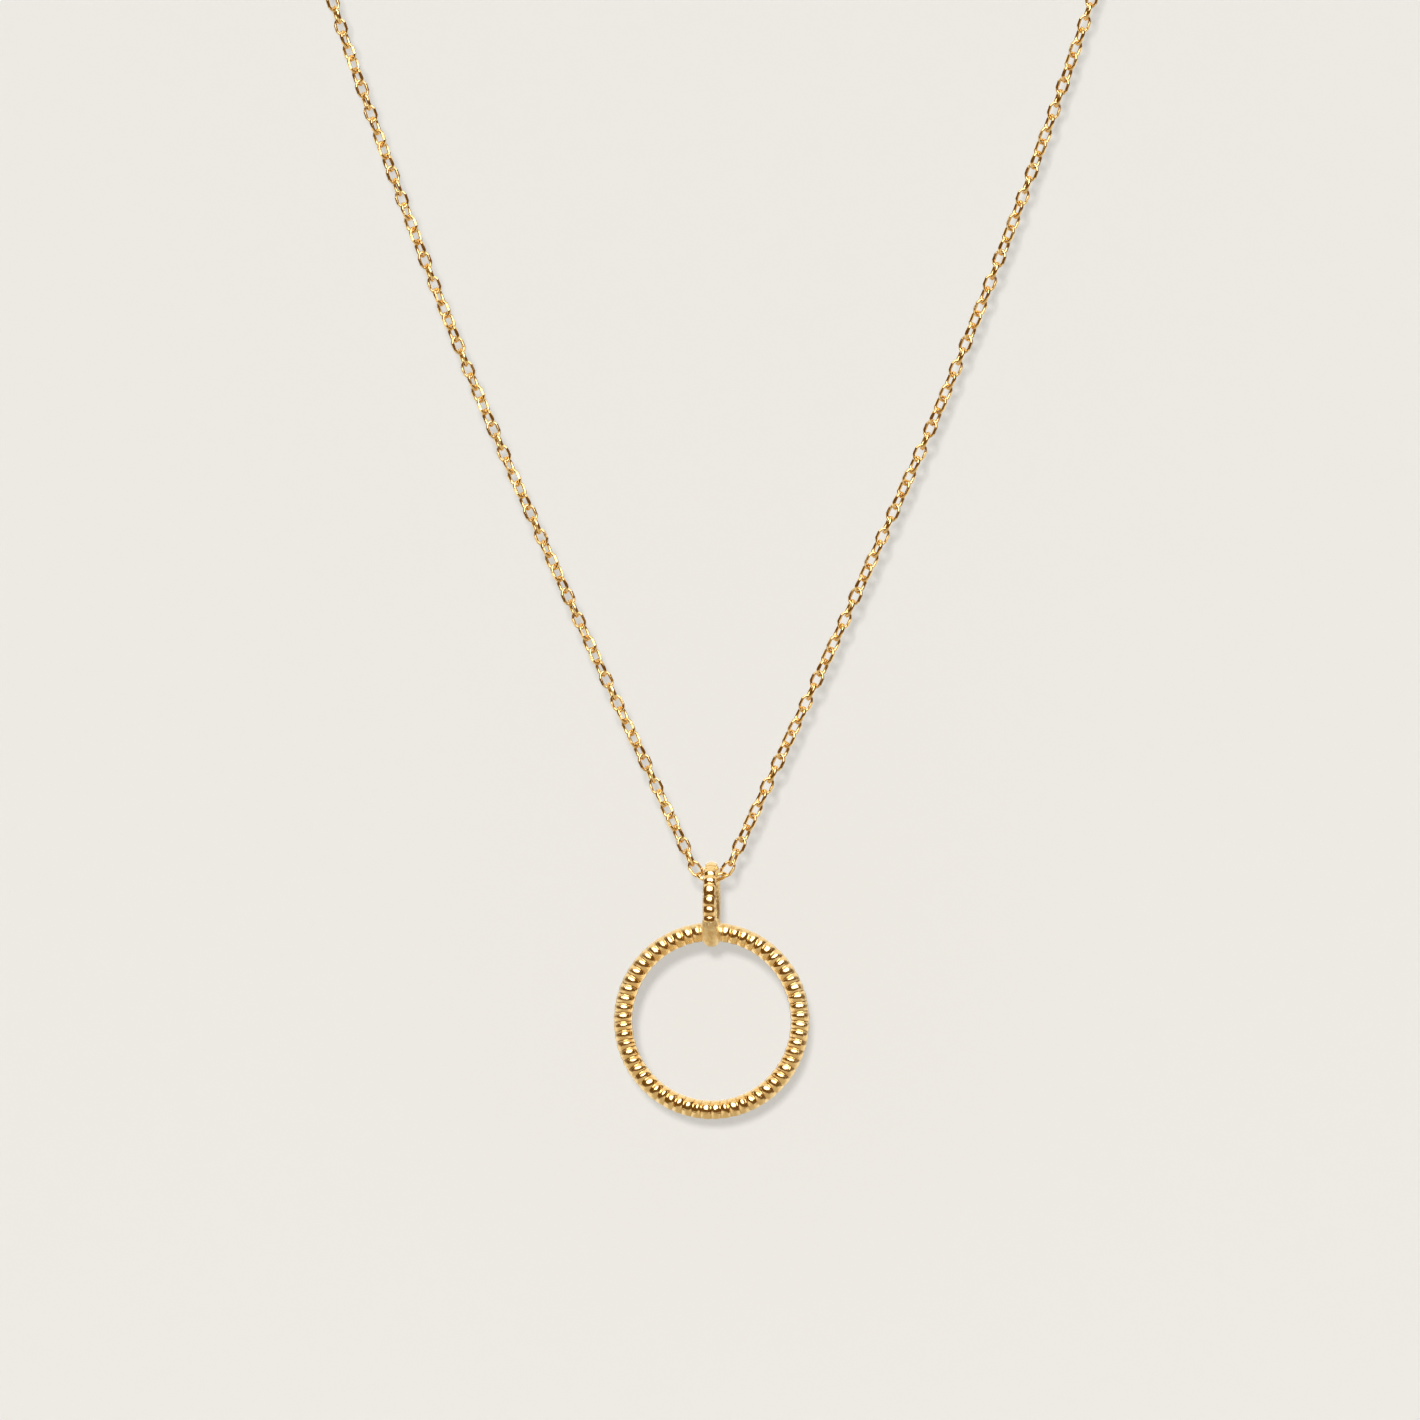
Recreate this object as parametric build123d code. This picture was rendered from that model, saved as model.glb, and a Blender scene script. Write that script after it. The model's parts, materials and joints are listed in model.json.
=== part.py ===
from build123d import *
import math
import os

# Circle necklace, hanging as it does on a neck or a hook: a fine cable chain in one plane,
# with a beaded open circle on a beaded bail at its lowest point.
# Millimetres, +Z up, +X to the wearer's left as seen from the front, and the front faces -Y.
# The origin is the middle of the closed clasp at the nape, where the necklace is carried.

# Chain: a tube as wide as its links.
chain_width = 1.05
end_gap = 0.15

# Right half of the chain's route, from its lowest point up to the clasp: across and up from
# that lowest point. The left half is its mirror image, and the clasp's length ends both.
# Columns: x, z.
chain_route = [
    (1.0, 0.0),
    (2.7, 3.6),
    (5.95, 10.6),
    (12.45, 24.4),
    (24.1, 50.4),
    (37.1, 86.5),
    (44.9, 118.0),
    (47.2, 145.0),
    (41.4, 167.0),
    (28.8, 181.6),
    (15.6, 188.2),
]
drop = 190.0
arc_share = 0.45

# Open circle of beaded wire.
circle_diameter = 17.95
circle_wire = 1.75
circle_groove = 0.15
circle_beads = 60

# Bail: an oval of beaded wire that stands across the circle.
bail_wire = 1.15
bail_groove = 0.11
bail_play = 0.15
bail_reach = 4.1
bail_swell = 0.65
bail_beads = 16

# Solder: the bail's lower turn is filled out smoothly where it grips the circle.
solder_length = 5.8
solder_width = 1.8
solder_depth = 1.3
solder_bite = 0.5

# Clasp: a spring ring with a soldered eye and a thumb tab.
clasp_diameter = 5.5
clasp_wire = 1.0
eye_diameter = 2.0
eye_wire = 0.5
eye_weld = 0.15
tab_width = 0.7
tab_rise = 0.9
tab_rounding = 0.2
tab_angle = 35.0

# Plain ring at the chain's other end, which the clasp holds.
end_ring_diameter = 3.6
end_ring_wire = 0.6
ring_play = 0.12


# Places that follow from the sizes
clasp_radius = (clasp_diameter - clasp_wire) / 2
eye_radius = (eye_diameter - eye_wire) / 2
end_ring_radius = (end_ring_diameter - end_ring_wire) / 2

eye_reach = clasp_diameter / 2 - eye_weld + eye_diameter
hooked_reach = clasp_radius - clasp_wire / 2 - ring_play - end_ring_wire + end_ring_diameter
clasp_set = eye_reach + hooked_reach
chain_end = clasp_set / 2 + end_gap
clasp_x = eye_reach - clasp_set / 2
end_ring_x = clasp_set / 2 - end_ring_diameter / 2

pivot = Vector(0, 0, -drop)
bail_end_radius = chain_width / 2 + bail_play + bail_wire / 2
bail_middle = pivot - Vector(0, 0, bail_reach / 2)
circle_radius = (circle_diameter - circle_wire) / 2
circle_centre = pivot - Vector(0, 0, bail_reach + solder_bite + circle_radius)


def chain_tube():
    """The chain's outer form, and the radii of its route's arcs."""
    half = chain_route + [(chain_end, drop)]
    right = [Vector(x, 0, z - drop) for x, z in half]
    left = [Vector(-point.X, 0, point.Z) for point in reversed(right)]
    points = left + right
    runs = [end - start for start, end in zip(points, points[1:])]
    radii = []
    for before, after in zip(runs, runs[1:]):
        half_turn = math.radians(before.get_angle(after)) / 2
        shorter = min(before.length, after.length)
        radii.append(arc_share * shorter / math.tan(half_turn))
    path = FilletPolyline(*points, radius=radii)
    start = Plane(origin=points[0], z_dir=runs[0])
    tube = sweep(start * Circle(chain_width / 2), path=path)
    return tube, path, radii


def ellipse(place, wide, deep):
    """A closed section: wide along the place's X, deep along its Y."""
    if abs(wide - deep) < 1e-6:
        return Wire.make_circle(wide / 2, place)
    if wide > deep:
        return Wire([Edge.make_ellipse(wide / 2, deep / 2, place)])
    turned = Plane(place.origin, x_dir=place.y_dir, z_dir=place.z_dir)
    return Wire([Edge.make_ellipse(deep / 2, wide / 2, turned)])


def skin(sections):
    """The smooth side face through closed sections, without its end caps."""
    body = Solid.make_loft(sections)
    return body.faces().filter_by(GeomType.PLANE, reverse=True)[0]


def bead_skins(places, crest, groove):
    """One barrel-shaped skin per bead, from groove to crest to groove, along the places."""
    skins = []
    for first in range(0, len(places) - 2, 2):
        start, middle, end = places[first:first + 3]
        widths = [(start, groove), (middle, crest), (end, groove)]
        skins.append(skin([ellipse(place, width, width) for place, width in widths]))
    return skins


def open_circle():
    """A closed ring of beaded wire that faces the front."""
    places = []
    for step in range(2 * circle_beads + 1):
        turn = math.pi * step / circle_beads
        outward = Vector(math.sin(turn), 0, math.cos(turn))
        along = Vector(math.cos(turn), 0, -math.sin(turn))
        places.append(Plane(circle_centre + outward * circle_radius, x_dir=(0, 1, 0), z_dir=along))
    skins = bead_skins(places, circle_wire, circle_wire - 2 * circle_groove)
    return Solid(Shell(skins))


def bail_path():
    """The bail's oval middle line: two small end arcs and two long side arcs, from the bottom."""
    rise = bail_reach / 2
    half_width = bail_end_radius + bail_swell
    side_radius = (half_width**2 + rise**2 - bail_end_radius**2) / (2 * bail_swell)
    tilt = math.degrees(math.atan2(rise, side_radius - half_width))
    offset = side_radius - half_width
    arcs = [
        (0, -rise, bail_end_radius, -90, -tilt),
        (-offset, 0, side_radius, -tilt, tilt),
        (0, rise, bail_end_radius, tilt, 180 - tilt),
        (offset, 0, side_radius, 180 - tilt, 180 + tilt),
        (0, -rise, bail_end_radius, 180 + tilt, 270),
    ]
    edges = []
    for across, up, radius, start, end in arcs:
        place = Plane(bail_middle + Vector(0, across, up), x_dir=(0, 1, 0), z_dir=(1, 0, 0))
        edges.append(Edge.make_circle(radius, place, start, end))
    return Wire(edges)


def bail():
    """Beads over the top and down both legs, and the smooth soldered turn at the bottom."""
    path = bail_path()

    def place_at(distance):
        share = (distance % path.length) / path.length
        return Plane(path.position_at(share), x_dir=(1, 0, 0), z_dir=path.tangent_at(share))

    first = solder_length / 2
    bead_run = path.length - solder_length
    steps = [first + bead_run * step / (2 * bail_beads) for step in range(2 * bail_beads + 1)]
    places = [place_at(distance) for distance in steps]
    groove = bail_wire - 2 * bail_groove
    skins = bead_skins(places, bail_wire, groove)

    # Solder sections, from one leg round the bottom to the other leg.
    # Columns: share of the solder's length, share of the way from groove to full section.
    swelling = [(0.0, 0.0), (0.14, 0.62), (0.32, 1.0), (0.5, 0.86), (0.68, 1.0), (0.86, 0.62), (1.0, 0.0)]
    sections = []
    for share, fill in swelling:
        place = place_at(path.length - first + share * solder_length)
        wide = groove + fill * (solder_width - groove)
        deep = groove + fill * (solder_depth - groove)
        sections.append(ellipse(place, wide, deep))
    skins.append(skin(sections))
    return Solid(Shell(skins))


def wire_ring(x, mean_radius, wire, facing):
    """A closed ring of round wire on the clasp's line."""
    place = Plane(origin=(x, 0, 0), z_dir=facing)
    return Solid.make_torus(mean_radius, wire / 2, place)


def spring_clasp():
    """The closed spring ring, its eye for the chain and its thumb tab, soldered as one."""
    body = wire_ring(clasp_x, clasp_radius, clasp_wire, (0, 1, 0))
    eye_x = clasp_x - clasp_diameter / 2 + eye_weld - eye_diameter / 2
    eye = wire_ring(eye_x, eye_radius, eye_wire, (0, 0, 1))
    lean = math.radians(tab_angle)
    outward = Vector(math.sin(lean), 0, math.cos(lean))
    foot = Plane(Vector(clasp_x, 0, 0) + outward * clasp_radius, z_dir=outward)
    tab = Solid.make_cylinder(tab_width / 2, clasp_wire / 2 + tab_rise, foot)
    tip = tab.edges().filter_by(GeomType.CIRCLE).sort_by(Axis(foot.origin, outward))[-1]
    tab = tab.fillet(tab_rounding, [tip])
    return body.fuse(eye, tab)


def end_ring():
    """The plain ring that the clasp holds, lying across it."""
    return wire_ring(end_ring_x, end_ring_radius, end_ring_wire, (0, 0, 1))


chain, chain_path, chain_radii = chain_tube()
pieces = {
    "chain": chain,
    "pendant": open_circle().fuse(bail()),
    "clasp": spring_clasp(),
    "end_ring": end_ring(),
}

os.makedirs("parts", exist_ok=True)
for name, piece in pieces.items():
    export_step(piece, f"parts/{name}.step")

swept_volume = math.pi * chain_width**2 / 4 * chain_path.length
print("chain length", round(chain_path.length, 1), "and clasp", round(clasp_set, 1))
print("chain radii", [round(radius, 1) for radius in chain_radii])
print("chain volume", round(chain.volume, 2), "section times length", round(swept_volume, 2))
print("circle centre", circle_centre, "bail end radius", round(bail_end_radius, 3))
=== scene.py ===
# %% [markdown]
# Circle necklace in yellow gold
#
# The real thing is a fine cable chain, about 450 mm round, with an open circle of beaded wire
# hanging from a beaded bail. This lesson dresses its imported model: the frame gives the places
# and the motion, and the cells below make the metal that the eye sees.
# Everything is in metres, with Z up, the front facing -Y and the origin in the clasp.

import json
import math

import bmesh
import bpy
from mathutils import Matrix, Vector, noise


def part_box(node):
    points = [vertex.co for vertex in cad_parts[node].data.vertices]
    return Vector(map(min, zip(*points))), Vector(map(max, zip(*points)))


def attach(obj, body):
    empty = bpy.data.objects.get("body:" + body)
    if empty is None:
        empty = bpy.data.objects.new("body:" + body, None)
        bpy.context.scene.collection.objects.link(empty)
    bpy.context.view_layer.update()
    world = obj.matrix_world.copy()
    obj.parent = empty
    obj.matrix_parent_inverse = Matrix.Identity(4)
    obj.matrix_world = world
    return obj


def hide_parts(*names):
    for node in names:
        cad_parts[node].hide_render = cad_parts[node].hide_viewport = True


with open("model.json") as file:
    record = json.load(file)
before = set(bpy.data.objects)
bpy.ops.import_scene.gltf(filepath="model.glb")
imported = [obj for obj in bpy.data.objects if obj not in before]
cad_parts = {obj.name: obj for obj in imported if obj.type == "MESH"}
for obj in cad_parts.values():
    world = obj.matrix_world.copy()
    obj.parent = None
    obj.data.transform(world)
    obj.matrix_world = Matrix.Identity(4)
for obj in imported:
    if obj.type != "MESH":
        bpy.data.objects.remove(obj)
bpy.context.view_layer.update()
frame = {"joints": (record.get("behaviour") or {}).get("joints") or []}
MM = 0.001


pivot = Vector(frame["joints"][0]["pos_m"])
circle_low, circle_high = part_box("pendant")

# %% [markdown]
# The camera
#
# Jewellery is photographed from far away through a long lens, so that nothing looks swollen.
# The camera here stands 1.5 m in front, a little to the right: that is why the bail's rear leg
# shows beside its front leg. The picture is a square, 129 mm wide at the necklace.

# %% Camera
PICTURE_PX = 1420
PX_PER_MM = 11.0
CHAIN_LOW_PX = 877.0
CHAIN_RISE = 0.37 * MM
AIM_LEFT = 0.14 * MM
CAMERA_TURN = math.radians(6.4)
CAMERA_DISTANCE = 1.5
SENSOR_MM = 36.0

picture_width = PICTURE_PX / PX_PER_MM * MM
aim_up = CHAIN_RISE + (CHAIN_LOW_PX - PICTURE_PX / 2) / PX_PER_MM * MM
picture_centre = pivot + Vector((-AIM_LEFT, 0, aim_up))
away = Vector((-math.sin(CAMERA_TURN), math.cos(CAMERA_TURN), 0))
right = Vector((math.cos(CAMERA_TURN), math.sin(CAMERA_TURN), 0))
up = Vector((0, 0, 1))

camera = bpy.data.objects.new("camera", bpy.data.cameras.new("camera"))
camera.data.sensor_width = SENSOR_MM
camera.data.sensor_fit = "HORIZONTAL"
camera.data.lens = SENSOR_MM * CAMERA_DISTANCE / picture_width
camera.data.clip_start = 0.01
camera.location = picture_centre - away * CAMERA_DISTANCE
camera.rotation_euler = (math.radians(90), 0, CAMERA_TURN)
bpy.context.scene.collection.objects.link(camera)
bpy.context.scene.camera = camera
bpy.context.scene.view_settings.view_transform = "Standard"
bpy.context.scene.view_settings.look = "None"
print("lens", round(camera.data.lens), "mm for a picture", round(picture_width / MM, 1), "mm wide")

# %% [markdown]
# Small helpers for node trees
#
# A node tree is easier to read when each node is made by one line that says what feeds it.


# %% Node helpers
def add_node(tree, kind, inputs=None, **settings):
    """One node, with its settings, and with each named input set or linked."""
    node = tree.nodes.new(kind)
    for name, value in settings.items():
        setattr(node, name, value)
    for name, value in (inputs or {}).items():
        if isinstance(value, bpy.types.NodeSocket):
            tree.links.new(value, node.inputs[name])
        else:
            node.inputs[name].default_value = value
    return node


def smooth_step(tree, value, low, high, top=1.0):
    """0 below low and top above high, with a soft step between."""
    inputs = {"Value": value, "From Min": low, "From Max": high, "To Max": top}
    return add_node(tree, "ShaderNodeMapRange", inputs, interpolation_type="SMOOTHSTEP").outputs[0]


def times(tree, first, second):
    """The product of two values."""
    node = add_node(tree, "ShaderNodeMath", {0: first, 1: second}, operation="MULTIPLY")
    return node.outputs[0]


def mixed(tree, factor, first, second):
    """A colour between two colours."""
    node = add_node(tree, "ShaderNodeMix", {0: factor}, data_type="RGBA")
    for place, value in ((6, first), (7, second)):
        if isinstance(value, bpy.types.NodeSocket):
            tree.links.new(value, node.inputs[place])
        else:
            node.inputs[place].default_value = value
    return node.outputs[2]


# %% [markdown]
# The studio
#
# Polished gold has hardly any colour of its own: it shows what stands round it. A jeweller's
# photographer puts a white panel in front and a little above, leaves the room dark round that
# panel, and lets pale paper shine from below, above and behind. Right below the panel stands
# the camera's table, which is a shade darker than the paper. Each bead then shows a white oval,
# a dark crescent round it and a light rim. Lamps could do this, but a world that is painted in
# a few soft steps gives the same mirror picture with no noise.
#
# A surface mirrors the ray that lies as far to one side of its normal as the viewer lies to
# the other. So the sum of a ray's way and the way to the front gives the normal that sends the
# ray to the front, and the studio is painted by that normal: its part sideways and its part up.
# These are fixed ways in the world, so they stay put when the camera moves. A smaller panel in a
# dark room stands behind the necklace, for its back.

# %% World
CREAM = (0.838, 0.812, 0.746, 1.0)
PANEL = (4.0, 4.0, 4.0, 1.0)
BACK_PANEL = (1.5, 1.5, 1.5, 1.0)
DARK = (0.14, 0.064, 0.003, 1.0)
FLOOR = (0.58, 0.48, 0.33, 1.0)
MIDDLE = (0.97, 0.88, 0.74, 1.0)
BRIGHT = (1.06, 1.06, 1.06, 1.0)
AMBIENT = 0.69

# Ovals: left, right, low and high by a normal's parts, and how soft the edge is.
FLOOR_OVAL = (-0.46, 0.46, -1.05, -0.20, 0.35)
DARK_OVAL = (-0.84, 0.88, -0.30, 0.52, 0.10)
PANEL_OVAL = (-0.31, 0.31, 0.06, 0.48, 0.18)
BACK_DARK_OVAL = (-0.55, 0.55, -0.35, 0.50, 0.14)
BACK_PANEL_OVAL = (-0.30, 0.30, -0.02, 0.42, 0.14)
RIM_STARTS, RIM_FULL = 0.75, 0.45
BEHIND_STARTS, BEHIND_FULL = 0.80, 0.88

world = bpy.data.worlds.new("studio")
bpy.context.scene.world = world
world.use_nodes = True
tree = world.node_tree
tree.nodes.clear()
ray = add_node(tree, "ShaderNodeLightPath")
ways = add_node(tree, "ShaderNodeTexCoord").outputs["Generated"]


def vector_math(tree, operation, first, second=None):
    """A vector sum, product or length."""
    inputs = {0: first} if second is None else {0: first, 1: second}
    node = add_node(tree, "ShaderNodeVectorMath", inputs, operation=operation)
    return node.outputs["Value" if operation in ("DOT_PRODUCT", "LENGTH") else "Vector"]


def sideways_and_up(tree, way):
    """How far a way lies to either side, and how far up, as one point."""
    side = vector_math(tree, "DOT_PRODUCT", way, tuple(right))
    aside = add_node(tree, "ShaderNodeMath", {0: side}, operation="ABSOLUTE").outputs[0]
    height = vector_math(tree, "DOT_PRODUCT", way, tuple(up))
    return add_node(tree, "ShaderNodeCombineXYZ", {"X": aside, "Y": height}).outputs[0]


def patch(tree, point, leftmost, rightmost, low, high, soft):
    """1 inside an oval of points, sideways and up, and 0 outside, with a soft edge."""
    middle = ((leftmost + rightmost) / 2, (low + high) / 2, 0)
    half = ((rightmost - leftmost) / 2, (high - low) / 2, 1)
    share = vector_math(tree, "DIVIDE", vector_math(tree, "SUBTRACT", point, middle), half)
    return smooth_step(tree, vector_math(tree, "LENGTH", share), 1 + soft, 1 - soft)


facing = vector_math(tree, "NORMALIZE", vector_math(tree, "ADD", ways, tuple(-away)))
front = sideways_and_up(tree, facing)
towards_front = vector_math(tree, "DOT_PRODUCT", facing, tuple(-away))
studio = mixed(tree, smooth_step(tree, towards_front, RIM_STARTS, RIM_FULL), MIDDLE, BRIGHT)
studio = mixed(tree, patch(tree, front, *FLOOR_OVAL), studio, FLOOR)
studio = mixed(tree, patch(tree, front, *DARK_OVAL), studio, DARK)
studio = mixed(tree, patch(tree, front, *PANEL_OVAL), studio, PANEL)

back = sideways_and_up(tree, ways)
towards_back = vector_math(tree, "DOT_PRODUCT", ways, tuple(away))
behind = smooth_step(tree, towards_back, BEHIND_STARTS, BEHIND_FULL)
back_dark = times(tree, behind, patch(tree, back, *BACK_DARK_OVAL))
studio = mixed(tree, back_dark, studio, DARK)
back_panel = times(tree, behind, patch(tree, back, *BACK_PANEL_OVAL))
studio = mixed(tree, back_panel, studio, BACK_PANEL)

even = (AMBIENT, AMBIENT, AMBIENT, 1.0)
plain = mixed(tree, ray.outputs["Is Camera Ray"], even, CREAM)
seen = mixed(tree, ray.outputs["Is Glossy Ray"], plain, studio)
background = add_node(tree, "ShaderNodeBackground", {"Color": seen})
add_node(tree, "ShaderNodeOutputWorld", {"Surface": background.outputs[0]})
print("world painted with", len(tree.nodes), "nodes")

# %% [markdown]
# The sweep
#
# A sheet of cream paper hangs behind the necklace and curves forward into the floor. It is a
# profile of a few points, rounded with a bevel and pulled sideways into a sheet. Seen from its
# back the paper is clear, so that the necklace can be looked at from behind as well, and the
# gold doesn't mirror it: the world's pale glow behind the necklace stands for it.

# %% Sweep
WALL_GAP = 28 * MM
SWEEP_HALF_WIDTH = 0.9
SWEEP_TOP = 0.7
FLOOR_Z = -0.33
FLOOR_REACH = 0.9
SWEEP_ROUND = 0.08
SWEEP_STEPS = 24
PAPER = (0.842, 0.824, 0.787, 1.0)


def paper_material():
    """Cream paper that is clear from its back."""
    paper = bpy.data.materials.new("cream_paper")
    paper.use_nodes = True
    tree = paper.node_tree
    tree.nodes.clear()
    cream = add_node(tree, "ShaderNodeBsdfDiffuse", {"Color": PAPER})
    clear = add_node(tree, "ShaderNodeBsdfTransparent")
    from_back = add_node(tree, "ShaderNodeNewGeometry").outputs["Backfacing"]
    inputs = {0: from_back, 1: cream.outputs[0], 2: clear.outputs[0]}
    both = add_node(tree, "ShaderNodeMixShader", inputs)
    add_node(tree, "ShaderNodeOutputMaterial", {"Surface": both.outputs[0]})
    return paper


def make_sweep():
    """Wall and floor in one curved sheet."""
    bm = bmesh.new()
    profile = [
        (-SWEEP_HALF_WIDTH, WALL_GAP, SWEEP_TOP),
        (-SWEEP_HALF_WIDTH, WALL_GAP, FLOOR_Z),
        (-SWEEP_HALF_WIDTH, -FLOOR_REACH, FLOOR_Z),
    ]
    verts = [bm.verts.new(point) for point in profile]
    for pair in zip(verts, verts[1:]):
        bm.edges.new(pair)
    bmesh.ops.bevel(
        bm, geom=[verts[1]], offset=SWEEP_ROUND, offset_type="OFFSET",
        affect="VERTICES", segments=SWEEP_STEPS, profile=0.5, material=-1,
    )
    pulled = bmesh.ops.extrude_edge_only(bm, edges=bm.edges[:])["geom"]
    moved = [item for item in pulled if isinstance(item, bmesh.types.BMVert)]
    bmesh.ops.translate(bm, verts=moved, vec=(2 * SWEEP_HALF_WIDTH, 0, 0))
    bmesh.ops.recalc_face_normals(bm, faces=bm.faces[:])
    wall = max(bm.faces, key=lambda face: face.calc_center_median().z)
    if wall.normal.y > 0:
        bmesh.ops.reverse_faces(bm, faces=bm.faces[:])
    return bm


def to_object(bm, name):
    """A finished bmesh as a smooth object at the origin."""
    mesh = bpy.data.meshes.new(name)
    bm.to_mesh(mesh)
    bm.free()
    for polygon in mesh.polygons:
        polygon.use_smooth = True
    piece = bpy.data.objects.new(name, mesh)
    bpy.context.scene.collection.objects.link(piece)
    return piece


sweep = to_object(make_sweep(), "sweep")
sweep.data.materials.append(paper_material())
sweep.visible_glossy = False
sweep.visible_shadow = False
print("sweep of", len(sweep.data.polygons), "faces")

# %% [markdown]
# The lamp that draws the shadow
#
# The photograph's shadow lies a little below the metal and to its right, with a soft edge, and
# is the same all along the chain. One lamp close to the camera's own line draws it. It shines
# on the paper alone, because on the gold it would only be a small hard spark.

# %% Shadow lamp
SHADOW_RIGHT = 5.0 / PX_PER_MM * MM
SHADOW_DOWN = 15.8 / PX_PER_MM * MM
SHADOW_SOFTNESS = math.radians(1.6)
LAMP_STRENGTH = 0.32 * math.pi

shadow_way = (away * WALL_GAP + right * SHADOW_RIGHT - up * SHADOW_DOWN).normalized()
lamp_data = bpy.data.lights.new("shadow_lamp", "SUN")
lamp_data.energy = LAMP_STRENGTH
lamp_data.angle = SHADOW_SOFTNESS
lamp = bpy.data.objects.new("shadow_lamp", lamp_data)
lamp.rotation_euler = shadow_way.to_track_quat("-Z", "Y").to_euler()
bpy.context.scene.collection.objects.link(lamp)
lit_by_lamp = bpy.data.collections.new("lit_by_shadow_lamp")
lit_by_lamp.objects.link(sweep)
lamp.light_linking.receiver_collection = lit_by_lamp
print("shadow falls", [round(value, 4) for value in shadow_way])

# %% [markdown]
# Gold
#
# The finish is yellow gold plating, polished on the crests and a little duller where the
# polishing wheel can't reach. Its colour hardly varies, so the shader keeps a true gold and
# lets slow noise shift the tone and the gloss, with a fine ripple in the bump for the
# unevenness of cast and drawn metal. The solder's own grain is coarser and matt. A painted
# shade darkens the grooves between the beads.

# %% Gold finishes
GOLD = (1.0, 0.755, 0.375, 1.0)
GOLD_WARM = (0.985, 0.70, 0.32, 1.0)
CHAIN_GOLD = (0.94, 0.69, 0.32, 1.0)
CHAIN_WARM = (0.91, 0.63, 0.26, 1.0)
# Painted shade: a darker gold for the grooves between the beads.
PAINTED_GROOVE_SHADE = (0.76, 0.46, 0.15, 1.0)
SOLDER_LIGHT = (1.0, 0.82, 0.46, 1.0)
SOLDER_DARK = (0.92, 0.67, 0.31, 1.0)
SOLDER_ROUGHNESS = 0.42
TONE_SCALE = 260.0
TONE_STEP = (0.35, 0.68)
GLOSS_STEP = (0.30, 0.75)
GLOSS_LOSS = 0.07
RIPPLE_SCALE = 3400.0
RIPPLE_HEIGHT = 0.04 * MM
GRAIN_SCALE = 4200.0
GRAIN_STEP = (0.35, 0.65)
GRAIN_HEIGHT = 0.1 * MM
GROOVE_STEP = (0.5, 0.0)
GROOVE_SHADE = 0.9


def gold_material(name, light, warm, gloss, ripple, beaded=False):
    """Polished gold. Beaded wire has two attributes: its grooves, which get a painted shade, and what is
    soldered or matt.
    """
    gold = bpy.data.materials.new(name)
    gold.use_nodes = True
    tree = gold.node_tree
    tree.nodes.clear()
    place = add_node(tree, "ShaderNodeTexCoord").outputs["Object"]
    tone = add_node(tree, "ShaderNodeTexNoise", {"Vector": place, "Scale": TONE_SCALE, "Detail": 3.0})
    fine = add_node(tree, "ShaderNodeTexNoise", {"Vector": place, "Scale": RIPPLE_SCALE, "Detail": 2.0})
    colour = mixed(tree, smooth_step(tree, tone.outputs[0], *TONE_STEP), light, warm)
    rough = smooth_step(tree, tone.outputs[0], *GLOSS_STEP, top=GLOSS_LOSS)
    rough = add_node(tree, "ShaderNodeMath", {0: rough, 1: gloss}, operation="ADD").outputs[0]
    bump = add_node(
        tree, "ShaderNodeBump",
        {"Height": fine.outputs[0], "Strength": ripple, "Distance": RIPPLE_HEIGHT},
    )
    if beaded:
        crest = add_node(tree, "ShaderNodeAttribute", attribute_name="crest").outputs["Fac"]
        # Painted shade: where the crest is low, in the grooves, the colour is mixed towards a darker
        # gold.
        groove = smooth_step(tree, crest, *GROOVE_STEP, top=GROOVE_SHADE)
        colour = mixed(tree, groove, colour, PAINTED_GROOVE_SHADE)
        filled = add_node(tree, "ShaderNodeAttribute", attribute_name="solder").outputs["Fac"]
        grain_inputs = {"Vector": place, "Scale": GRAIN_SCALE, "Detail": 3.0}
        grain = add_node(tree, "ShaderNodeTexNoise", grain_inputs)
        matt = mixed(tree, smooth_step(tree, grain.outputs[0], *GRAIN_STEP), SOLDER_DARK, SOLDER_LIGHT)
        colour = mixed(tree, filled, colour, matt)
        duller = times(tree, filled, SOLDER_ROUGHNESS - gloss)
        rough = add_node(tree, "ShaderNodeMath", {0: rough, 1: duller}, operation="ADD").outputs[0]
        grainy = times(tree, grain.outputs[0], filled)
        bump = add_node(
            tree, "ShaderNodeBump",
            {"Height": grainy, "Strength": 1.0, "Distance": GRAIN_HEIGHT, "Normal": bump.outputs[0]},
        )
    shader = add_node(
        tree, "ShaderNodeBsdfPrincipled",
        {"Base Color": colour, "Roughness": rough, "Normal": bump.outputs[0], "Metallic": 1.0},
    )
    add_node(tree, "ShaderNodeOutputMaterial", {"Surface": shader.outputs[0]})
    return gold


chain_gold = gold_material("polished_chain_gold", CHAIN_GOLD, CHAIN_WARM, gloss=0.12, ripple=0.25)
pendant_gold = gold_material("polished_bead_gold", GOLD, GOLD_WARM, gloss=0.14, ripple=0.50, beaded=True)
clasp_gold = gold_material("polished_clasp_gold", CHAIN_GOLD, CHAIN_WARM, gloss=0.10, ripple=0.25)
print("finishes", [finish.name for finish in (chain_gold, pendant_gold, clasp_gold)])

# %% [markdown]
# The chain's route
#
# The chain hangs in one plane, and these are the same few points that its solid follows, from
# the lowest place up the right side. Its weight draws one smooth line through them, so they
# are the control points of a NURBS spline. Blender turns that into a fine line of points.

# %% Route
DROP = 190.0
CHAIN_END = 4.63
ROUTE = [
    (1.14, 0.22),
    (2.7, 3.6),
    (5.98, 10.6),
    (12.52, 24.4),
    (24.2, 50.4),
    (37.25, 86.5),
    (45.1, 118.0),
    (47.2, 145.0),
    (41.4, 167.0),
    (28.8, 181.6),
    (15.6, 188.2),
    (CHAIN_END, DROP),
]
half = [Vector((x, 0, z - DROP)) * MM for x, z in ROUTE]
route = [Vector((-point.x, 0, point.z)) for point in reversed(half)] + half


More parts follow.
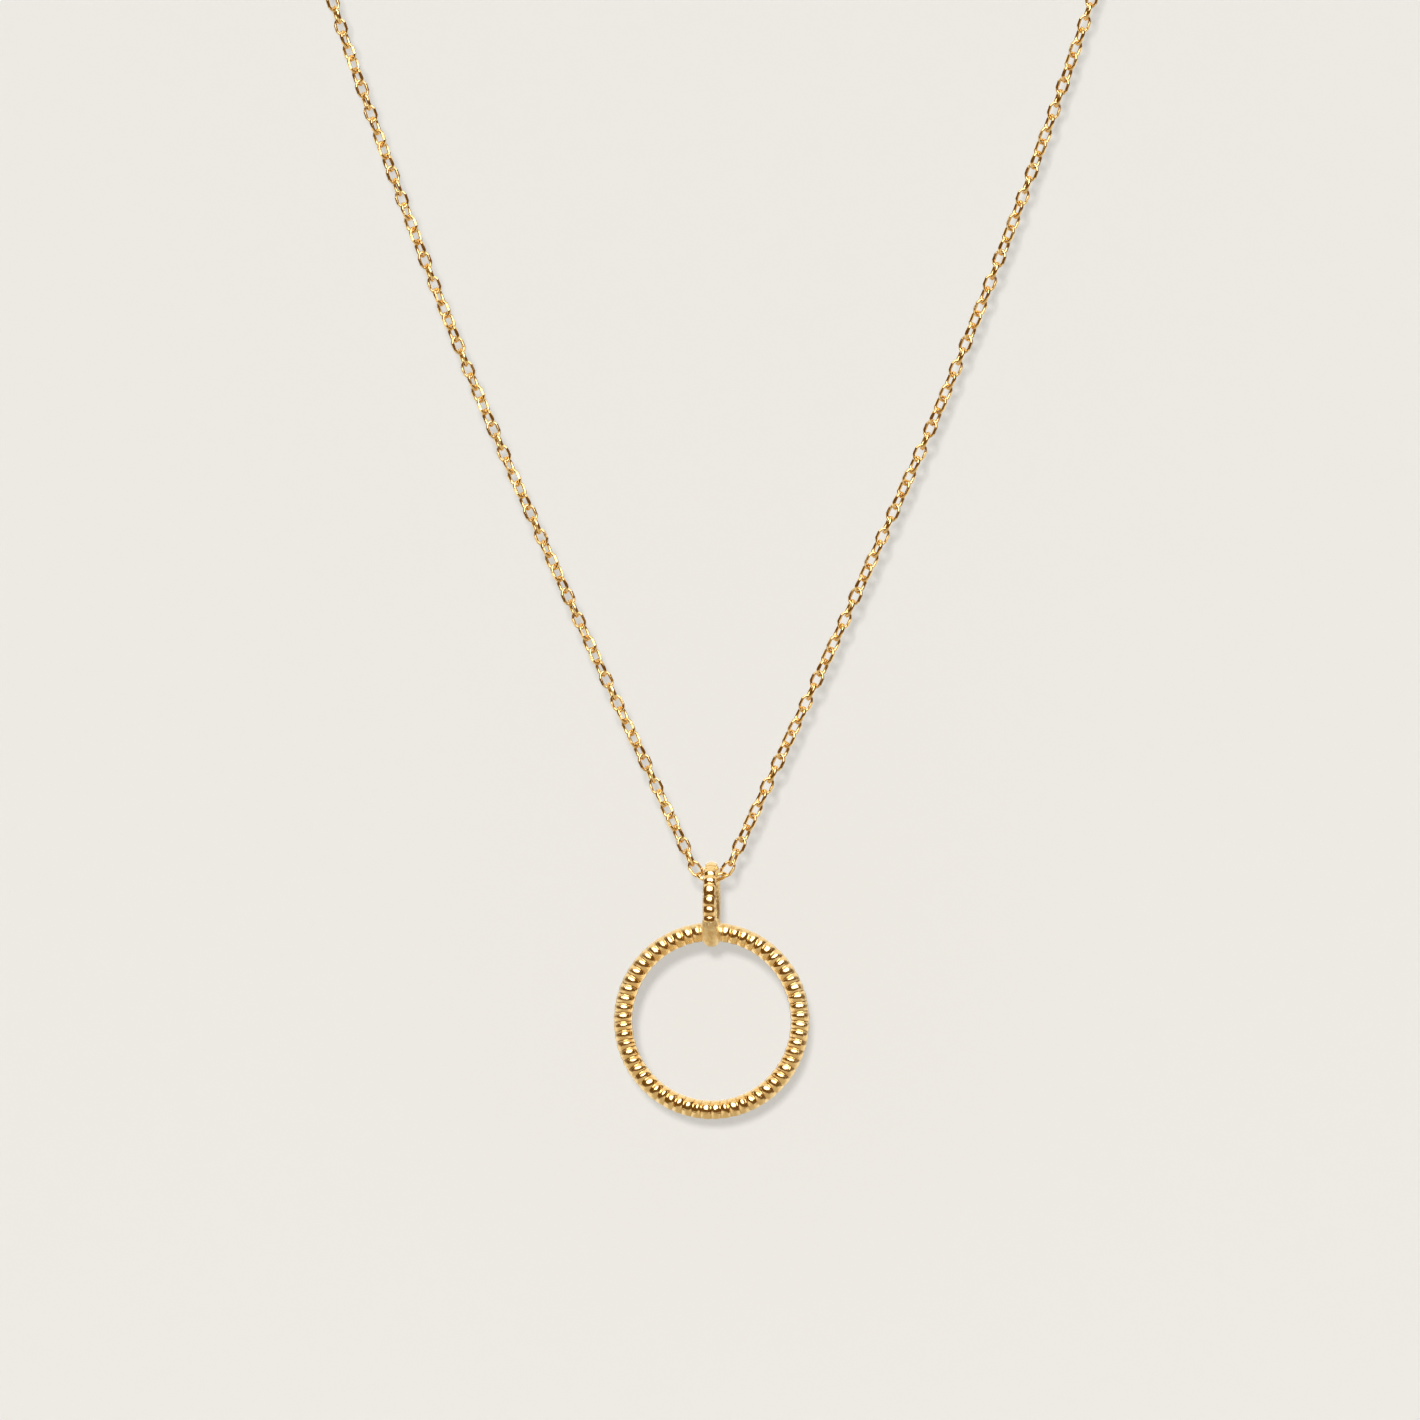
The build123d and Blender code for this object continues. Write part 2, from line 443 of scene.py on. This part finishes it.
def spline_points(points):
    """The smooth line that the points control, as a close row of points."""
    curve = bpy.data.curves.new("route", "CURVE")
    curve.dimensions = "3D"
    spline = curve.splines.new("NURBS")
    spline.points.add(len(points) - 1)
    for place, point in zip(spline.points, points):
        place.co = (*point, 1.0)
    spline.order_u = 3
    spline.use_endpoint_u = True
    spline.resolution_u = 48
    holder = bpy.data.objects.new("route", curve)
    bpy.context.scene.collection.objects.link(holder)
    bpy.context.view_layer.update()
    mesh = bpy.data.meshes.new_from_object(holder)
    places = [vertex.co.copy() for vertex in mesh.vertices]
    bpy.data.objects.remove(holder)
    bpy.data.curves.remove(curve)
    bpy.data.meshes.remove(mesh)
    return places


line = spline_points(route)
reach = [0.0]
for start, end in zip(line, line[1:]):
    reach.append(reach[-1] + (end - start).length)
chain_length = reach[-1]
print("chain", round(chain_length / MM, 1), "mm along", len(line), "points")


def place_on_line(distance):
    """The point and the direction at a distance along the line."""
    low, high = 0, len(reach) - 1
    while high - low > 1:
        middle = (low + high) // 2
        if reach[middle] <= distance:
            low = middle
        else:
            high = middle
    share = (distance - reach[low]) / (reach[high] - reach[low])
    way = line[high] - line[low]
    return line[low] + way * share, way.normalized()


# %% [markdown]
# One link
#
# A link is a short piece of wire bent into an oval and closed. The wire of this one is thin,
# and a little deeper than it is wide. The finished chain is run past a cutter that shaves
# little facets on the outer corners of each link's sides, and they flash dark and bright as
# the chain moves. Here a circle of six corners is pulled along one side, spun round the end,
# pulled back and spun again. The edges round the four facets are sharp, and all the others are
# shaded round.

# %% Link
WIRE = 0.30 * MM
WIRE_ACROSS = 1.06
WIRE_DEEP = 1.15
BEND_WIDTH = 1.22 * MM
LINK_LENGTH = 1.87 * MM
END_NARROWING = 0.32
WIRE_SIDES = 6
BEND_STEPS = 5
FACET_FACING = (0.2, 0.8)
SEAM = 0.006 * MM


def verts_of(geometry):
    """The vertices in an operator's result."""
    return [item for item in geometry if isinstance(item, bmesh.types.BMVert)]


def edges_of(geometry):
    """The edges in an operator's result."""
    return [item for item in geometry if isinstance(item, bmesh.types.BMEdge)]


def make_link():
    """One closed link, long along X, wide along Y, centred."""
    bm = bmesh.new()
    bend = (BEND_WIDTH - WIRE) / 2
    straight = LINK_LENGTH - WIRE - 2 * bend
    bmesh.ops.create_circle(bm, cap_ends=False, segments=WIRE_SIDES, radius=WIRE / 2)
    flat_outwards = Matrix.Rotation(math.pi / WIRE_SIDES, 4, "Z")
    stand = Matrix.Translation((-straight / 2, -bend, 0)) @ Matrix.Rotation(math.pi / 2, 4, "Y")
    stand = stand @ Matrix.Diagonal((WIRE_DEEP, WIRE_ACROSS, 1, 1)) @ flat_outwards
    bmesh.ops.transform(bm, matrix=stand, verts=bm.verts[:])
    ring = bm.edges[:]
    for way in (1, -1):
        pulled = bmesh.ops.extrude_edge_only(bm, edges=ring)["geom"]
        bmesh.ops.translate(bm, verts=verts_of(pulled), vec=(way * straight, 0, 0))
        spun = bmesh.ops.spin(
            bm, geom=verts_of(pulled) + edges_of(pulled), cent=(way * straight / 2, 0, 0),
            axis=(0, 0, 1), angle=math.pi, steps=BEND_STEPS,
        )
        ring = edges_of(spun["geom_last"])
    bmesh.ops.remove_doubles(bm, verts=bm.verts[:], dist=SEAM)
    bmesh.ops.recalc_face_normals(bm, faces=bm.faces[:])
    for vertex in bm.verts:
        vertex.co.y *= (1 - END_NARROWING * (2 * vertex.co.x / LINK_LENGTH) ** 2)
    bm.normal_update()
    return bm


def cut_facets(bm, near_middle):
    """Makes the edges sharp round the outer corner faces at the middle of each side."""
    facets = []
    least, most = FACET_FACING
    for face in bm.faces:
        middle = face.calc_center_median()
        outwards = math.copysign(1.0, middle.y) * face.normal.y
        if abs(middle.x) < near_middle and least < outwards < most:
            facets.append(face)
    for face in facets:
        for edge in face.edges:
            edge.smooth = False
    return len(facets)


link = make_link()
facet_count = cut_facets(link, (LINK_LENGTH - BEND_WIDTH) / 4)
print("a link has", len(link.faces), "faces and", facet_count, "facets cut on it")

# %% [markdown]
# The whole chain
#
# Each link stands about a quarter turn from the last, so that it can pass through it. A fine
# chain is never quite straight: it is closed with some twist in it, and the twist spreads
# along it until every link stands a little more than a quarter turn on. From the front, open
# links then come at every second or third place, which is the rhythm that the eye sees. The
# links have room to tip in each other, so none stays quite on edge: each settles a little
# towards its open side. The chain folds where the bail hangs: two links share the bail, and
# the next one on each side faces the viewer. The links of the two sides lean a few degrees
# apart. A small unevenness keeps the row alive, and it is the same at every run.

# %% Chain
LINK_PITCH = 1.19 * MM
QUARTER = 90.0
FOLD_ROLL = 30.0
TWIST = 2340.0
UNTWISTED_AT_BAIL = 2.75
UNTWISTED_AT_CLASP = 2.0
ROLL_UNEVEN = 4.0
ROLL_DRAW = 0.73
ROLL_APART = 6.4
OPENED = 0.8
FRONT = Vector((0, -1, 0))

# The number is even, so that the last link faces the viewer, as the clasp's flat eye needs.
links_each_way = 2 * round((chain_length / 2 / LINK_PITCH + 0.5) / 2)
pitch = chain_length / 2 / (links_each_way - 0.5)


def link_roll(number, side):
    """How far a link is rolled about the chain, in degrees, from facing the viewer."""
    if number == 1:
        return QUARTER + side * FOLD_ROLL
    roll = 0.0 if number % 2 == 0 else QUARTER
    twisted = links_each_way - UNTWISTED_AT_BAIL - UNTWISTED_AT_CLASP
    share = min(max((number - UNTWISTED_AT_BAIL) / twisted, 0.0), 1.0)
    if 0.0 < share < 1.0:
        uneven = 2 * noise.noise(Vector((number * ROLL_DRAW, side, 0.5)))
        roll += ROLL_UNEVEN * uneven - side * ROLL_APART
    from_open = (roll + TWIST * share + QUARTER) % (2 * QUARTER) - QUARTER
    return OPENED * from_open


def link_matrix(number, side):
    """Where a link lies on the line, counted from the fold, left (-1) or right (1) of it."""
    point, way = place_on_line(chain_length / 2 + side * (number - 0.5) * pitch)
    across = way.cross(FRONT).normalized()
    roll = math.radians(link_roll(number, side))
    wide = across * math.cos(roll) + FRONT * math.sin(roll)
    normal = way.cross(wide)
    turn = Matrix((way, wide, normal)).transposed().to_4x4()
    return Matrix.Translation(point) @ turn


chain_mesh = bmesh.new()
link_mesh = bpy.data.meshes.new("link")
link.to_mesh(link_mesh)
link.free()
for side in (-1, 1):
    for number in range(1, links_each_way + 1):
        first = len(chain_mesh.verts)
        chain_mesh.from_mesh(link_mesh)
        chain_mesh.verts.ensure_lookup_table()
        fresh = chain_mesh.verts[first:]
        bmesh.ops.transform(chain_mesh, matrix=link_matrix(number, side), verts=fresh)
bpy.data.meshes.remove(link_mesh)

chain = to_object(chain_mesh, "chain_links")
chain.data.materials.append(chain_gold)
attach(chain, "loop")
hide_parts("chain")
print("chain of", 2 * links_each_way, "links at a pitch of", round(pitch / MM, 3), "mm")

# %% [markdown]
# Beaded wire
#
# Beaded wire is rolled or cast straight, as a row of small barrels, and then bent to shape.
# The same is done here. A lathe turns a bead profile into a straight rod, and the rod is bent
# round a path of arcs. Before bending, each bead gets a little tilt and a size of its own,
# because the grooves of the real one are nowhere quite square to the wire.

# %% Lathe and bending
ROD_SIDES = 32
BEAD_STEPS = 12
LENGTH_UNEVEN = 0.10
LENGTH_DRAW = 3.7
CREST_UNEVEN = 0.12
CREST_DRAW = 2.3
BEADS_PER_LEAN = 7
SECOND_DRAW = Vector((7.3, 1.1, 0))
RIM_FADE = 5
SCUFF_STARTS = 0.35
SCUFF_FADE = 0.25
FLANK_START = math.radians(52)
FRONT_ROUND = 0.80


def bead_lengths(beads, seed):
    """Relative lengths of a row of beads, none quite like the next."""
    draws = [noise.noise(Vector((LENGTH_DRAW * bead, seed, 0.5))) for bead in range(beads)]
    return [1 + LENGTH_UNEVEN * draw for draw in draws]


def turned_rod(length, lengths, crest, groove, filled, fill_level, seed):
    """A straight beaded rod along Z, open at both ends. Solder fills it where filled says so."""
    bm = bmesh.new()
    crest_layer = bm.verts.layers.float.new("crest")
    solder_layer = bm.verts.layers.float.new("solder")
    profile = []
    start = 0.0
    for bead, share_of_length in enumerate(lengths):
        bead_length = length * share_of_length / sum(lengths)
        lower = CREST_UNEVEN * abs(noise.noise(Vector((CREST_DRAW * bead, seed, 4.5))))
        for step in range(BEAD_STEPS):
            share = 2 * step / BEAD_STEPS - 1
            swell = (1 - share * share) * (1 - lower)
            place = start + bead_length * step / BEAD_STEPS
            solder = filled(place)
            swell += (fill_level - swell) * solder
            vertex = bm.verts.new((groove + (crest - groove) * swell, 0, place))
            vertex[crest_layer] = swell
            vertex[solder_layer] = solder
            profile.append(vertex)
        start += bead_length
    end = bm.verts.new((profile[0].co.x, 0, length))
    end[crest_layer] = profile[0][crest_layer]
    end[solder_layer] = profile[0][solder_layer]
    profile.append(end)
    outline = [bm.edges.new(pair) for pair in zip(profile, profile[1:])]
    bmesh.ops.spin(
        bm, geom=profile + outline, cent=(0, 0, 0), axis=(0, 0, 1),
        angle=2 * math.pi, steps=ROD_SIDES, use_merge=True,
    )
    bmesh.ops.remove_doubles(bm, verts=bm.verts[:], dist=crest / 500)
    return bm


def tilt_beads(bm, length, beads, tilt, seed):
    """Leans each groove by a little, the more the further from the rod's axis."""
    for vertex in bm.verts:
        turn = 2 * math.pi * vertex.co.z / length
        place = Vector((math.cos(turn), math.sin(turn), seed)) * beads / BEADS_PER_LEAN
        lean = tilt * noise.noise(place)
        shift = tilt * noise.noise(place + SECOND_DRAW)
        vertex.co.z += vertex.co.x * shift + vertex.co.y * lean


def shape_grooves(bm, crest, kept):
    """Keeps a share of each groove's depth, by its side, its outside and its place."""
    for vertex in bm.verts:
        radius = math.hypot(vertex.co.x, vertex.co.y)
        share = kept(vertex.co.x / radius, vertex.co.y / radius, vertex.co.z)
        grown = (crest - (crest - radius) * share) / radius
        vertex.co.x *= grown
        vertex.co.y *= grown


def bow_grooves(bm, length, crest, bow):
    """Bends a bail's grooves, so that their ends hang lower than their middles."""
    for vertex in bm.verts:
        side = 2 * vertex.co.z / length - 1
        vertex.co.z += side * bow * (vertex.co.x / crest) ** 2


def scuff_outside(bm, matt):
    """Makes a ring's outside matt, where it rubs."""
    solder_layer = bm.verts.layers.float["solder"]
    for vertex in bm.verts:
        outside = vertex.co.y / math.hypot(vertex.co.x, vertex.co.y)
        share = min(max((outside - SCUFF_STARTS) / SCUFF_FADE, 0.0), 1.0)
        vertex[solder_layer] = max(vertex[solder_layer], matt * share)


def file_flanks(bm, matt, inside_matt):
    """Flattens a bail's outside a little, files its sides flat and leaves its inside satin."""
    solder_layer = bm.verts.layers.float["solder"]
    corner = math.sin(FLANK_START), 1 + FRONT_ROUND * (math.cos(FLANK_START) - 1)
    for vertex in bm.verts:
        side, outside = abs(vertex.co.x), vertex.co.y
        radius, turn = math.hypot(side, outside), math.atan2(side, outside)
        if turn < FLANK_START:
            vertex.co.y += (1 - FRONT_ROUND) * (radius - outside)
        elif turn < math.pi / 2:
            share = (turn - FLANK_START) / (math.pi / 2 - FLANK_START)
            across = corner[0] + (1 - corner[0]) * share
            vertex.co.x = math.copysign(radius * across, vertex.co.x)
            vertex.co.y = radius * corner[1] * (1 - share)
            vertex[solder_layer] = matt
        else:
            vertex[solder_layer] = inside_matt


def dent(bm, depth, scale):
    """Presses the surface in by a little here and there, as hand work does."""
    bm.normal_update()
    for vertex in bm.verts:
        press = 0.5 + 0.5 * noise.noise(vertex.co * scale)
        vertex.co -= vertex.normal * depth * press


def bend_rod(bm, arcs, across, upward, outward_side):
    """Bends a rod along Z round a flat path of arcs. Its X goes sideways, its Y outwards."""
    starts = [0.0]
    for _, _, radius, start, end in arcs:
        starts.append(starts[-1] + radius * (end - start))
    for vertex in bm.verts:
        distance = vertex.co.z % starts[-1]
        number = max(index for index, start in enumerate(starts[:-1]) if start <= distance)
        middle_across, middle_up, radius, start, _ = arcs[number]
        angle = start + (distance - starts[number]) / radius
        outward = across * math.cos(angle) + upward * math.sin(angle)
        middle = across * middle_across + upward * middle_up
        vertex.co = middle + outward * (radius + vertex.co.y) + outward_side * vertex.co.x


# %% [markdown]
# The open circle
#
# Sixty beads make the circle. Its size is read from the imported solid: the circle is as wide as
# the pendant, and its lowest crest is the pendant's lowest place. The outside of a ring rubs on
# skin and cloth and loses its mirror polish first, so it is a little matt there.

# %% Open circle
CIRCLE_BEADS = 60
CIRCLE_SEED = 1.5
CIRCLE_TILT_SEED = 3.0
CIRCLE_WIRE = 1.75 * MM
CIRCLE_GROOVE = 0.21 * MM
CIRCLE_TILT = 0.16
CIRCLE_WORN = 0.75
CIRCLE_SCUFF = 0.5
DENT_DEPTH = 0.028 * MM
DENT_SCALE = 3200.0
FILL_REACH = 0.7 * MM
FILL_FADE = 0.4 * MM
FILL_LEVEL = 0.7

circle_width = circle_high.x - circle_low.x
circle_radius = (circle_width - CIRCLE_WIRE) / 2
circle_centre = Vector((0, 0, circle_low.z + CIRCLE_WIRE / 2 + circle_radius))
circle_length = 2 * math.pi * circle_radius


def filled_near_bail(place):
    """1 where solder fills the circle's beads under the bail, and 0 further round."""
    distance = min(place, circle_length - place)
    share = min(max((distance - FILL_REACH) / FILL_FADE, 0.0), 1.0)
    return 1 - share * share * (3 - 2 * share)


def circle_kept(side, outside, place):
    """The grooves fade at the circle's rims, which rub."""
    return 1 - CIRCLE_WORN * abs(outside) ** RIM_FADE


def make_circle():
    """The beaded circle, closed, facing the front."""
    crest = CIRCLE_WIRE / 2
    lengths = bead_lengths(CIRCLE_BEADS, CIRCLE_SEED)
    groove = crest - CIRCLE_GROOVE
    bm = turned_rod(circle_length, lengths, crest, groove, filled_near_bail, FILL_LEVEL, CIRCLE_SEED)
    shape_grooves(bm, crest, circle_kept)
    scuff_outside(bm, CIRCLE_SCUFF)
    tilt_beads(bm, circle_length, CIRCLE_BEADS, CIRCLE_TILT, CIRCLE_TILT_SEED)
    path = [(0, circle_centre.z, circle_radius, math.pi / 2, 2.5 * math.pi)]
    bend_rod(bm, path, Vector((1, 0, 0)), up, FRONT)
    bmesh.ops.remove_doubles(bm, verts=bm.verts[:], dist=SEAM)
    bmesh.ops.recalc_face_normals(bm, faces=bm.faces[:])
    dent(bm, DENT_DEPTH, DENT_SCALE)
    return bm


circle = to_object(make_circle(), "open_circle")
circle.data.materials.append(pendant_gold)
print("circle", round(circle_width / MM, 2), "mm wide,", len(circle.data.polygons), "faces")

# %% [markdown]
# The bail
#
# The bail is an oval of finer beaded wire that stands across the circle. Its path has two
# small arcs, over the chain and under the circle, and two long arcs for its legs. It is beaded
# outside alone, as a cast bail is, with filed flanks and a smooth satin inside, and it is a
# little wider than its wire is thick. Two beads in the middle of its front leg came out longer
# than the rest, and the one at the bottom is under the solder.

# %% Bail
BAIL_WIRE = 1.15 * MM
BAIL_GROOVE = 0.135 * MM
BAIL_BEADS = 20
BAIL_SEED = 6.5
BAIL_TILT_SEED = 8.0
BAIL_SPREAD = 1.09
LONG_BEADS = {0: 1.5, 13: 1.25, 14: 1.15}
BAIL_REACH = 4.1 * MM
BAIL_END_RADIUS = 1.25 * MM
BAIL_SWELL = 0.65 * MM
BAIL_TILT = 0.14
BAIL_TOP = 2.1 * MM
BAIL_TOP_WORN = 0.7
BAIL_MATT = 0.3
INSIDE_MATT = 0.7
BAIL_BOW = 0.20 * MM


def bail_arcs():
    """The oval's arcs from its lowest point: middle across and up, radius, start and end."""
    rise = BAIL_REACH / 2
    middle_z = pivot.z - rise
    half_width = BAIL_END_RADIUS + BAIL_SWELL
    side_radius = (half_width**2 + rise**2 - BAIL_END_RADIUS**2) / (2 * BAIL_SWELL)
    offset = side_radius - half_width
    tilt = math.atan2(rise, offset)
    return [
        (0, middle_z - rise, BAIL_END_RADIUS, -math.pi / 2, -tilt),
        (-offset, middle_z, side_radius, -tilt, tilt),
        (0, middle_z + rise, BAIL_END_RADIUS, tilt, math.pi - tilt),
        (offset, middle_z, side_radius, math.pi - tilt, math.pi + tilt),
        (0, middle_z - rise, BAIL_END_RADIUS, math.pi + tilt, 1.5 * math.pi),
    ]


bail_length = sum(radius * (end - start) for _, _, radius, start, end in bail_arcs())


def never_filled(place):
    """No solder on the bail's own beads."""
    return 0.0


def bail_kept(side, outside, place):
    """The bail is smooth inside, and its grooves fade at its sides and over its top."""
    if outside < 0:
        return 0
    from_top = abs(place - bail_length / 2) / BAIL_TOP
    return (1 - abs(side) ** RIM_FADE) * (1 - BAIL_TOP_WORN * max(1 - from_top**2, 0))


def make_bail():
    """The beaded oval, closed."""
    crest = BAIL_WIRE / 2
    lengths = bead_lengths(BAIL_BEADS, BAIL_SEED)
    for bead, share in LONG_BEADS.items():
        lengths[bead] *= share
    bm = turned_rod(bail_length, lengths, crest, crest - BAIL_GROOVE, never_filled, 0.0, BAIL_SEED)
    shape_grooves(bm, crest, bail_kept)
    file_flanks(bm, BAIL_MATT, INSIDE_MATT)
    bow_grooves(bm, bail_length, crest, BAIL_BOW)
    tilt_beads(bm, bail_length, BAIL_BEADS, BAIL_TILT, BAIL_TILT_SEED)
    bend_rod(bm, bail_arcs(), Vector((0, 1, 0)), up, Vector((1, 0, 0)))
    bmesh.ops.scale(bm, vec=(BAIL_SPREAD, 1, 1), verts=bm.verts[:])
    bmesh.ops.remove_doubles(bm, verts=bm.verts[:], dist=SEAM)
    bmesh.ops.recalc_face_normals(bm, faces=bm.faces[:])
    dent(bm, DENT_DEPTH, DENT_SCALE)
    return bm


bail = to_object(make_bail(), "bail")
bail.data.materials.append(pendant_gold)
print("bail", len(bail.data.polygons), "faces")

# %% [markdown]
# The solder
#
# Where the bail grips the circle, solder has filled the beads and run into the corners. It is
# a smooth, slightly lumpy sleeve over the bail's lower turn, a little thinner at its middle and
# fading out up both legs.

# %% Solder
SOLDER_LENGTH = 6.0 * MM
SOLDER_WIDTH = 1.62 * MM
SOLDER_DEPTH = 1.36 * MM
SOLDER_STEPS = 48
SOLDER_WAIST = 0.10
WAIST_REACH = 0.22
LUMP_DEPTH = 0.05 * MM
LUMP_SCALE = 1900.0


def make_solder():
    """The sleeve of solder round the bail's lower turn."""
    bm = bmesh.new()
    solder_layer = bm.verts.layers.float.new("solder")
    crest_layer = bm.verts.layers.float.new("crest")
    thin = BAIL_WIRE / 2 - BAIL_GROOVE
    bmesh.ops.create_circle(bm, cap_ends=False, segments=ROD_SIDES, radius=1.0)
    ring = bm.edges[:]
    rings = [bm.verts[:]]
    for _ in range(SOLDER_STEPS):
        pulled = bmesh.ops.extrude_edge_only(bm, edges=ring)["geom"]
        ring = edges_of(pulled)
        rings.append(verts_of(pulled))
    for step, verts in enumerate(rings):
        share = 2 * step / SOLDER_STEPS - 1
        waist = SOLDER_WAIST * math.exp(-((share / WAIST_REACH) ** 2))
        fill = (1 - abs(share) ** 5) ** 0.7 * (1 - waist)
        wide = thin + fill * (SOLDER_WIDTH / 2 - thin)
        deep = thin + fill * (SOLDER_DEPTH / 2 - thin)
        bmesh.ops.scale(bm, vec=(wide, deep, 1), verts=verts)
        bmesh.ops.translate(bm, vec=(0, 0, bail_length + share * SOLDER_LENGTH / 2), verts=verts)
    for vertex in bm.verts:
        vertex[solder_layer] = 1.0
        vertex[crest_layer] = 1.0
    bend_rod(bm, bail_arcs(), Vector((0, 1, 0)), up, Vector((1, 0, 0)))
    bmesh.ops.holes_fill(bm, edges=bm.edges[:], sides=ROD_SIDES)
    bmesh.ops.recalc_face_normals(bm, faces=bm.faces[:])
    dent(bm, LUMP_DEPTH, LUMP_SCALE)
    return bm


solder = to_object(make_solder(), "solder")
solder.data.materials.append(pendant_gold)
for piece in (circle, bail, solder):
    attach(piece, "pendant")
    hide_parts("pendant")
print("solder", len(solder.data.polygons), "faces")

# %% [markdown]
# The clasp and its ring
#
# The clasp is out of the photograph, so it is the plain one that such a chain has: a spring
# ring with a small eye for the chain and a thumb tab, and a plain ring for it to hold. Rings
# are a small circle spun round an axis.

# %% Clasp and end ring
RING_STEPS = 72
WIRE_STEPS = 20
CLASP_DIAMETER = 5.5 * MM
CLASP_WIRE = 1.0 * MM
EYE_DIAMETER = 2.0 * MM
EYE_WIRE = 0.5 * MM
TAB_WIDTH = 0.7 * MM
TAB_REACH = 1.4 * MM
TAB_ANGLE = math.radians(35.0)
TAB_ROUNDING = 0.21 * MM
END_RING_WIRE = 0.6 * MM

clasp_low, clasp_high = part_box("clasp")
end_low, end_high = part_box("end_ring")
clasp_centre = Vector((clasp_high.x - CLASP_DIAMETER / 2, 0, 0))
eye_centre = Vector((clasp_low.x + EYE_DIAMETER / 2, 0, 0))
end_centre = (end_low + end_high) / 2
end_diameter = end_high.x - end_low.x


def add_ring(bm, centre, diameter, wire, axis):
    """A closed ring of round wire about an axis."""
    radius = (diameter - wire) / 2
    made = bmesh.ops.create_circle(bm, cap_ends=False, segments=WIRE_STEPS, radius=wire / 2)
    start = Matrix.Translation(centre + Vector((radius, 0, 0)))
    if axis.z:
        start = start @ Matrix.Rotation(math.pi / 2, 4, "X")
    bmesh.ops.transform(bm, matrix=start, verts=made["verts"])
    edges = {edge for vertex in made["verts"] for edge in vertex.link_edges}
    bmesh.ops.spin(
        bm, geom=made["verts"] + list(edges), cent=centre, axis=axis,
        angle=2 * math.pi, steps=RING_STEPS, use_merge=True,
    )


def add_tab(bm):
    """The thumb tab: a short round pin with a softened end, leaning from the ring."""
    made = bmesh.ops.create_cone(
        bm, cap_ends=True, segments=WIRE_STEPS,
        radius1=TAB_WIDTH / 2, radius2=TAB_WIDTH / 2, depth=TAB_REACH,
    )["verts"]
    rim = {edge for vertex in made for edge in vertex.link_edges if min(v.co.z for v in edge.verts) > 0}
    bevelled = bmesh.ops.bevel(
        bm, geom=list(rim), offset=TAB_ROUNDING, offset_type="OFFSET",
        affect="EDGES", segments=4, profile=0.5, material=-1,
    )
    whole = {vertex for vertex in made if vertex.is_valid} | set(bevelled["verts"])
    lean = Matrix.Rotation(TAB_ANGLE, 4, "Y")
    middle = (CLASP_DIAMETER - CLASP_WIRE) / 2 + TAB_REACH / 2
    place = Matrix.Translation(clasp_centre) @ lean @ Matrix.Translation((0, 0, middle))
    bmesh.ops.transform(bm, matrix=place, verts=list(whole))


def make_clasp():
    """The spring ring with its eye and tab."""
    bm = bmesh.new()
    add_tab(bm)
    add_ring(bm, clasp_centre, CLASP_DIAMETER, CLASP_WIRE, Vector((0, 1, 0)))
    add_ring(bm, eye_centre, EYE_DIAMETER, EYE_WIRE, Vector((0, 0, 1)))
    bmesh.ops.remove_doubles(bm, verts=bm.verts[:], dist=SEAM)
    bmesh.ops.recalc_face_normals(bm, faces=bm.faces[:])
    return bm


def make_end_ring():
    """The plain ring that the clasp holds."""
    bm = bmesh.new()
    add_ring(bm, end_centre, end_diameter, END_RING_WIRE, Vector((0, 0, 1)))
    bmesh.ops.remove_doubles(bm, verts=bm.verts[:], dist=SEAM)
    bmesh.ops.recalc_face_normals(bm, faces=bm.faces[:])
    return bm


clasp = to_object(make_clasp(), "spring_ring")
end_ring = to_object(make_end_ring(), "plain_ring")
for piece, node in ((clasp, "clasp"), (end_ring, "end_ring")):
    piece.data.materials.append(clasp_gold)
    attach(piece, "loop")
    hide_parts(node)
    print(piece.name, len(piece.data.polygons), "faces")

# %% [markdown]
# Finish
#
# The dressed necklace has to stay inside the box of its solids. The last step brings the scene up to
# date.

# %% Finish
bpy.context.view_layer.update()
